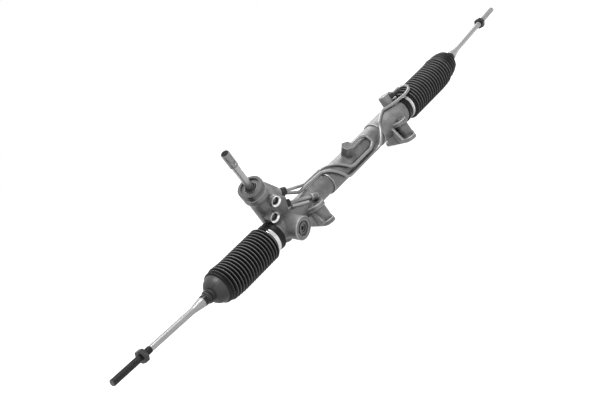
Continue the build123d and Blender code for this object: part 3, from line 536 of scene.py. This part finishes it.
clamp = {
    "in": 26.05, "out": 26.9, "at": 14.0, "width": 8.0,
    "ear": (9.0, 17.0, 3.4), "earTurn": 24.0, "earCuts": 5, "earBevel": 0.9,
}
for end, made in bellowsEnds.items():
    low, high = clamp["at"], clamp["at"] + clamp["width"]
    section = [(low, clamp["in"]), (low, clamp["out"] - 0.3), (low + 0.4, clamp["out"]), (low + 1.6, clamp["out"]),
               (low + 2.0, clamp["out"] - 0.25), (high - 2.0, clamp["out"] - 0.25), (high - 1.6, clamp["out"]),
               (high - 0.4, clamp["out"]), (high, clamp["out"] - 0.3), (high, clamp["in"])]
    shape = spun(section, 96)
    place = placeAlong(rackLine + alongX * made["cuff"] * mm, (rods[end]["side"], 0, 0))
    finishPiece(f"bandClamp{end.title()}", placed(shape, place), "housing", bandSteel,
                [f"band_clamp_{end}"])
    block = bmesh.new()
    bmesh.ops.create_cube(block, size=1)
    bmesh.ops.scale(block, vec=Vector(clamp["ear"]) * mm, verts=block.verts)
    lengthwise = [edge for edge in block.edges
                  if abs((edge.verts[0].co - edge.verts[1].co).normalized().y) > 0.9]
    bmesh.ops.subdivide_edges(block, edges=lengthwise, cuts=clamp["earCuts"], use_grid_fill=True)
    corners = [edge for edge in block.edges if edge.calc_face_angle(0) > 1]
    bmesh.ops.bevel(block, geom=corners, offset=clamp["earBevel"] * mm, affect="EDGES", segments=3, profile=0.5,
                    material=-1)
    for vert in block.verts:             # wraps the block round the band
        far = (clamp["out"] + clamp["ear"][2] / 2 - 0.1) * mm + vert.co.z
        angle = vert.co.y / (clamp["out"] * mm)
        vert.co = Vector((vert.co.x + (low + high) / 2 * mm, far * math.sin(angle), far * math.cos(angle)))
    turn = Matrix.Rotation(math.radians(clamp["earTurn"] * rods[end]["side"]), 4, "X")
    finishPiece(f"clampEar{end.title()}", placed(block, place @ turn), "housing", clipOxide)
print("clamps done")


# ---------- tie rods ----------

tieRod = {
    # mm from the ball's middle, and radii
    "ballRoom": 12.05, "neck": 6.5, "seat": 8.0, "seatEnd": 112.0, "collar": 9.6, "shank": 5.5, "shankStart": 146.0,
    "core": 5.15, "threadStart": 246.0, "length": 332.0, "pitch": 1.25, "major": 6.0, "steps": 24,
    "ribs": (124.0, 147.0, 1.9, 0.22),     # from, to, pitch, depth of the rings left on the cone
}


def rodShank(ribbed):
    t = tieRod
    profile = [((t["ballRoom"] ** 2 - t["neck"] ** 2) ** 0.5, t["neck"]), (40, t["neck"]), (46, t["seat"]),
               (t["seatEnd"], t["seat"]), (t["seatEnd"] + 0.6, t["collar"] - 0.4), (t["seatEnd"] + 1, t["collar"]),
               (t["seatEnd"] + 8.4, t["collar"]), (t["seatEnd"] + 9.2, t["collar"] - 0.6)]
    low, high, pitch, depth = t["ribs"]
    coneStart, coneTop = t["seatEnd"] + 10, t["collar"] - 0.7
    count = int((t["shankStart"] - coneStart) / (pitch / 4))
    for i in range(count + 1):
        along = coneStart + (t["shankStart"] - coneStart) * i / count
        radius = coneTop + (t["shank"] - coneTop) * i / count
        if ribbed and low < along < high:
            radius += depth * (i % 4 in (1, 2))
        profile.append((along, radius))
    profile += [(t["threadStart"] - 3, t["shank"]), (t["threadStart"] - 1, t["core"]), (t["length"] - 1.2, t["core"]),
                (t["length"] - 0.9, 0)]
    profile.insert(0, (profile[0][0], 0))
    return spun(profile, 48, False)


def rodThread():
    t = tieRod
    shape = bmesh.new()
    start, turns = t["threadStart"] - t["pitch"], (t["length"] - t["threadStart"]) / t["pitch"] + 2
    steps = round(turns * t["steps"])
    minor, major, pitch = t["core"] + 0.1, t["major"], t["pitch"]
    line = [(0, minor), (0.12 * pitch, minor), (0.44 * pitch, major), (0.56 * pitch, major), (0.88 * pitch, minor),
            (pitch, minor)]
    corners = [shape.verts.new(((start + along) * mm, radius * mm, 0)) for along, radius in line]
    edges = [shape.edges.new(pair) for pair in zip(corners, corners[1:])]
    bmesh.ops.spin(shape, geom=corners + edges, cent=(0, 0, 0), axis=(1, 0, 0), angle=math.tau * steps / t["steps"],
                   steps=steps, dvec=(pitch * mm / t["steps"], 0, 0))
    bmesh.ops.remove_doubles(shape, verts=shape.verts, dist=1e-5)
    for along, keepSide in ((t["threadStart"], -1), (t["length"], 1)):
        cut = bmesh.ops.bisect_plane(shape, geom=shape.verts[:] + shape.edges[:] + shape.faces[:], dist=1e-7,
                                     plane_co=(along * mm, 0, 0), plane_no=(keepSide, 0, 0), clear_outer=True)
        rim = [edge for edge in cut["geom_cut"] if isinstance(edge, bmesh.types.BMEdge)]
        bmesh.ops.contextual_create(shape, geom=rim)
    for vert in shape.verts:             # chamfers both ends of the thread
        inside = min(vert.co.x - t["threadStart"] * mm, t["length"] * mm - vert.co.x)
        far = math.hypot(vert.co.y, vert.co.z)
        limit = (t["core"] - 0.3) * mm + inside
        if far > limit:
            vert.co.y *= limit / far
            vert.co.z *= limit / far
    bmesh.ops.recalc_face_normals(shape, faces=shape.faces)
    return shape


for end, rod in rods.items():
    place = placeAlong(rod["origin"], rod["dir"])
    near = end == "near"
    finishPiece(f"tieRod{end.title()}", placed(rodShank(near), place), f"{end}_rod",
                shankNear if near else shankFar, [f"tie_rod_{end}"])
    finishPiece(f"rodThread{end.title()}", placed(rodThread(), place), f"{end}_rod",
                threadOxide if near else threadBright, (), 25)
print("tie rods done")


# ---------- input shaft ----------

shaft = {
    # mm from the pinion's middle, and radii
    "bore": 3.06, "start": 46.0, "rotor": 9.5, "shoulder": 90.0, "journal": 6.5, "head": 168.0, "top": 201.0,
    "spline": 8.0, "under": 0.9, "teeth": 36, "toothDepth": 0.75, "chamfer": 1.4, "tip": 0.84,
    "socket": 21.0,                    # the bore's top, from the tip
    "notch": (10.0, 178.0, 4.2),       # off the axis, along it, radius
    "waist": 158.0,
}
gearPlace = placeAlong(pinionOrigin, pinionDir, yokeDir)


def splinedHead():
    s = shaft
    shape = bmesh.new()
    rim = bmesh.ops.create_circle(shape, cap_ends=True, segments=s["teeth"] * 4, radius=s["spline"] * mm)["verts"]
    for number, vert in enumerate(rim):
        if number % 4 in (2, 3):
            vert.co *= 1 - s["toothDepth"] / s["spline"]
    bmesh.ops.rotate(shape, matrix=Matrix.Rotation(math.pi / 2, 3, "Y"), verts=shape.verts)
    bmesh.ops.translate(shape, vec=(s["head"] * mm, 0, 0), verts=shape.verts)
    for step, narrow in ((s["top"] - s["head"] - s["chamfer"], 1.0), (s["chamfer"], s["tip"])):
        top = [max(shape.faces, key=lambda face: face.calc_center_median().x)]
        lifted = bmesh.ops.extrude_face_region(shape, geom=top, use_keep_orig=narrow == 1.0)["geom"]
        verts = [item for item in lifted if isinstance(item, bmesh.types.BMVert)]
        bmesh.ops.translate(shape, vec=(step * mm, 0, 0), verts=verts)
        for vert in verts:
            vert.co.y *= narrow
            vert.co.z *= narrow
    bmesh.ops.recalc_face_normals(shape, faces=shape.faces)
    return shape


def cutBy(thing, shape):
    # cuts a closed shape out of a piece
    mesh = bpy.data.meshes.new("cutter")
    shape.to_mesh(mesh)
    shape.free()
    cutter = bpy.data.objects.new("cutter", mesh)
    bpy.context.collection.objects.link(cutter)
    boolean = thing.modifiers.new("cut", "BOOLEAN")
    boolean.operation, boolean.object, boolean.solver = "DIFFERENCE", cutter, "EXACT"
    made = bpy.data.meshes.new_from_object(thing.evaluated_get(bpy.context.evaluated_depsgraph_get()))
    thing.modifiers.clear()
    thing.data = made
    bpy.data.objects.remove(cutter)
    made.shade_smooth()
    made.set_sharp_from_angle(angle=math.radians(35))


def notchShape(place):
    off, high, radius = shaft["notch"]
    shape = bmesh.new()
    bmesh.ops.create_cone(shape, cap_ends=True, segments=32, radius1=radius * mm, radius2=radius * mm, depth=0.03)
    across = Matrix.Translation((high * mm, 0, off * mm)) @ Matrix.Rotation(math.pi / 2, 4, "X")
    return placed(shape, place @ across)


def stemShape():
    s = shaft
    core, top, bore = s["spline"] - s["under"], s["top"] - 2, s["top"] - s["socket"]
    return spun([(s["start"], s["bore"]), (s["start"], s["rotor"]), (s["shoulder"], s["rotor"]),
                 (s["shoulder"] + 2.5, s["journal"]), (s["waist"] - 1.5, s["journal"]),
                 (s["waist"] - 1, s["journal"] + 0.5), (s["waist"] + 0.6, s["journal"] + 0.5),
                 (s["head"] - 6, s["journal"] + 0.2), (s["head"], core), (top, core), (top, 0), (bore, 0),
                 (bore, s["bore"])], 64)


stemPiece = finishPiece("inputStem", placed(stemShape(), gearPlace), "input", shaftSteel,
                        ["input_shaft"])
headPiece = finishPiece("inputSplines", placed(splinedHead(), gearPlace), "input", shaftSteel)
for thing in (stemPiece, headPiece):
    cutBy(thing, notchShape(gearPlace))
print("input shaft done")


# ---------- castings ----------

castings = {
    # node: slot, voxel size in mm, smoothing rounds, share of triangles kept
    "pinion_housing": ("cast_alloy", 1.0, 3, 0.5),
    "end_casting": ("cast_alloy", 1.0, 3, 0.5),
    "cylinder_tube": ("tube_steel", 1.2, 2, 0.4),
    "mid_port": ("tube_steel", 0.6, 3, 0.6),
}


def castCopy(name, node, slotName, voxel, rounds, kept):
    # the node's own shape with the soft edges of a casting
    shape = bmesh.new()
    shape.from_mesh(nodes[node].data)
    bmesh.ops.remove_doubles(shape, verts=shape.verts, dist=1e-6)
    thing = finishPiece(name, shape, None, nodeFinish[node])
    remesh = thing.modifiers.new("cast", "REMESH")
    remesh.mode, remesh.voxel_size = "VOXEL", voxel * mm
    smooth = thing.modifiers.new("soften", "SMOOTH")
    smooth.factor, smooth.iterations = 0.5, rounds
    thin = thing.modifiers.new("thin", "DECIMATE")
    thin.ratio = kept
    mesh = bpy.data.meshes.new_from_object(thing.evaluated_get(bpy.context.evaluated_depsgraph_get()))
    thing.modifiers.clear()
    thing.data = mesh
    mesh.shade_smooth()
    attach(thing, "housing")
    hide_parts(node)
    print(name, len(mesh.polygons), "faces")


for node, made in castings.items():
    castCopy("cast" + node.title().replace("_", ""), node, *made)


def castRib(name, points, radius, steps=10):
    # a round-backed rib laid along a few points of the casting
    shape = bmesh.new()
    rim = bmesh.ops.create_circle(shape, cap_ends=True, segments=steps, radius=radius * mm)["verts"]
    points = [Vector(point) * mm for point in points]
    start = (points[1] - points[0]).normalized()
    bmesh.ops.rotate(shape, matrix=start.to_track_quat("Z", "Y").to_matrix(), verts=rim)
    bmesh.ops.translate(shape, vec=points[0], verts=rim)
    heading = start
    top = shape.faces[:]
    for number in range(1, len(points)):
        last = number == len(points) - 1
        ahead = (points[number + 1] - points[number]).normalized() if not last else heading
        step = (points[number] - points[number - 1]).normalized()
        across = (step + ahead).normalized()
        lifted = bmesh.ops.extrude_face_region(shape, geom=top, use_keep_orig=number == 1)["geom"]
        top = [item for item in lifted if isinstance(item, bmesh.types.BMFace)]
        verts = [item for item in lifted if isinstance(item, bmesh.types.BMVert)]
        bmesh.ops.translate(shape, vec=points[number] - points[number - 1], verts=verts)
        bmesh.ops.rotate(shape, cent=points[number], matrix=heading.rotation_difference(across).to_matrix(),
                         verts=verts)
        heading = across
    bmesh.ops.recalc_face_normals(shape, faces=shape.faces)
    finishPiece(name, shape, "housing", housingAlloy)


# rib under the short pipe, from its nut to the ear
gallery = {
    "seat": (28.0, 8.0, 27.5),         # where the pipe starts: sideways, outwards and up from the pinion's middle
    "aim": (-145.0, -23.0, 8.0),       # where it heads, from the rack's line
    "shares": (0.2, 0.82),             # how far along the pipe the rib begins and ends
    "below": 7.6, "radius": 3.4,
}
sideways, outwards, upwards = gallery["seat"]
pipeStart = pinionOrigin + (sideDir * sideways + portDir * outwards + pinionDir * upwards) * mm
pipeAim = rackLine + Vector(gallery["aim"]) * mm
ribStart, ribEnd = (pipeStart.lerp(pipeAim, share) for share in gallery["shares"])
drop = Vector((0, 0, -1)) * gallery["below"] * mm
ribPoints = [tuple((point + drop) / mm) for point in (ribStart, ribStart.lerp(ribEnd, 0.5), ribEnd)]
castRib("galleryRib", ribPoints, gallery["radius"])
print("castings done")


# ---------- ports and seal ----------

ports = {
    # side, height and reach from the pinion's axis in mm
    "Upper": (12.8, 65.5, 28.0),
    "Lower": (-7.0, 44.7, 30.0),
}
# (along, radius) in mm, from the port's face and from the pinion's middle
portSeat = [(0.08, 9.85), (0.08, 9.4), (-2.32, 6.96), (-8.6, 6.96), (-8.6, 7.5), (-2.1, 7.5), (-0.5, 9.7), (-0.5, 9.85)]
sealCase = [(106.02, 11.9), (106.02, 9.0), (107.4, 9.0), (107.7, 9.3), (107.7, 10.4), (107.1, 10.8), (107.1, 11.9)]
seatSteel = plainFinish("seatSteel", grey(0.8), 0.26, 0.95)
for name, (across, height, reach) in ports.items():
    origin = pinionOrigin + (sideDir * across + pinionDir * height + portDir * reach) * mm
    finishPiece(f"portSeat{name}", placed(spun(portSeat, 48), placeAlong(origin, portDir, pinionDir)), "housing",
                seatSteel)
finishPiece("sealCase", placed(spun(sealCase, 64), gearPlace), "housing", seatSteel)
print("ports done")


# ---------- camera, floor and light ----------

camera = {
    "place": (-1.312, -1.3325, 0.4223),
    "right": (0.55085, -0.61956, -0.55921),
    "up": (0.54071, -0.24548, 0.80461),
    "lens": 61.2,
}
right = Vector(camera["right"]).normalized()
back = right.cross(Vector(camera["up"])).normalized()
up = back.cross(right)
lensData = bpy.data.cameras.new("studioCamera")
lensData.lens, lensData.sensor_width = camera["lens"], 36
lensData.clip_start, lensData.clip_end = 0.05, 60
eye = bpy.data.objects.new("studioCamera", lensData)
bpy.context.collection.objects.link(eye)
eye.matrix_world = Matrix.Translation(camera["place"]) @ Matrix((right, up, back)).transposed().to_4x4()
bpy.context.scene.camera = eye


middle = Vector((0, 0, 0.05))          # what the lamps point at
lamps = [
    # name, place from the middle as the camera sees it (right, up, towards it), width and height, power
    ("keyLamp", (-0.8, 1.5, 1.2), (1.0, 1.0), 50),
    ("rimLamp", (-0.5, 1.5, -1.2), (1.8, 0.8), 20),
    ("fillLamp", (1.2, -0.2, 2.0), (1.2, 1.2), 8),
]
for name, (x, y, z), (wide, high), power in lamps:
    lampData = bpy.data.lights.new(name, "AREA")
    lampData.shape, lampData.size, lampData.size_y, lampData.energy = "RECTANGLE", wide, high, power
    lamp = bpy.data.objects.new(name, lampData)
    bpy.context.collection.objects.link(lamp)
    spot = right * x + up * y + back * z + middle
    lamp.location = spot
    lamp.rotation_mode = "QUATERNION"
    lamp.rotation_quaternion = (middle - spot).to_track_quat("-Z", "Y")

backdrop = {
    "seen": 1.0, "fill": 0.3,              # the world's strength to the eye, and as light
    "floor": 0.35, "glow": 0.92,           # the floor's tone, and its own glow to the eye
    "floorHalf": 12, "floorDrop": 0.0005,
}


def whiteToEyes(tree):
    # 1 for rays that see the backdrop, straight, mirrored or through glass
    path = tree.nodes.new("ShaderNodeLightPath")
    total = None
    for key in ("Is Camera Ray", "Is Glossy Ray", "Is Transmission Ray"):
        if total is None:
            total = path.outputs[key]
            continue
        add = tree.nodes.new("ShaderNodeMath")
        add.operation, add.use_clamp = "MAXIMUM", True
        tree.links.new(total, add.inputs[0])
        tree.links.new(path.outputs[key], add.inputs[1])
        total = add.outputs[0]
    return total


world = bpy.data.worlds.new("studioWorld")
bpy.context.scene.world = world
world.use_nodes = True
worldTree = world.node_tree
worldTree.nodes.clear()
seen = whiteToEyes(worldTree)
dim = worldTree.nodes.new("ShaderNodeBackground")
dim.inputs["Strength"].default_value = backdrop["fill"]
white = worldTree.nodes.new("ShaderNodeBackground")
white.inputs["Strength"].default_value = backdrop["seen"]
for node in (dim, white):
    node.inputs["Color"].default_value = (1, 1, 1, 1)
blendWorld = worldTree.nodes.new("ShaderNodeMixShader")
worldOut = worldTree.nodes.new("ShaderNodeOutputWorld")
worldTree.links.new(seen, blendWorld.inputs[0])
worldTree.links.new(dim.outputs[0], blendWorld.inputs[1])
worldTree.links.new(white.outputs[0], blendWorld.inputs[2])
worldTree.links.new(blendWorld.outputs[0], worldOut.inputs[0])

floorMesh = bpy.data.meshes.new("floor")
sheet = bmesh.new()
bmesh.ops.create_grid(sheet, x_segments=1, y_segments=1, size=backdrop["floorHalf"])
bmesh.ops.translate(sheet, verts=sheet.verts, vec=(0, 0, min(0, cadLow.z) - backdrop["floorDrop"]))
sheet.to_mesh(floorMesh)
sheet.free()
floor = bpy.data.objects.new("floor", floorMesh)
bpy.context.collection.objects.link(floor)
floorFinish = Finish("floorPaint", grey(backdrop["floor"]), 0.9)
floorSeen = whiteToEyes(floorFinish.tree)
glow = floorFinish.add("ShaderNodeMath", {"operation": "MULTIPLY"}, {0: floorSeen, 1: backdrop["glow"]})
floorFinish.feed(floorFinish.shader, "Emission Color", (1, 1, 1, 1))
floorFinish.feed(floorFinish.shader, "Emission Strength", glow.outputs[0])
floorMesh.materials.append(floorFinish.material)
floor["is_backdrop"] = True
bpy.context.scene.view_settings.view_transform = "Standard"
print("camera and light done")

low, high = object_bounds()
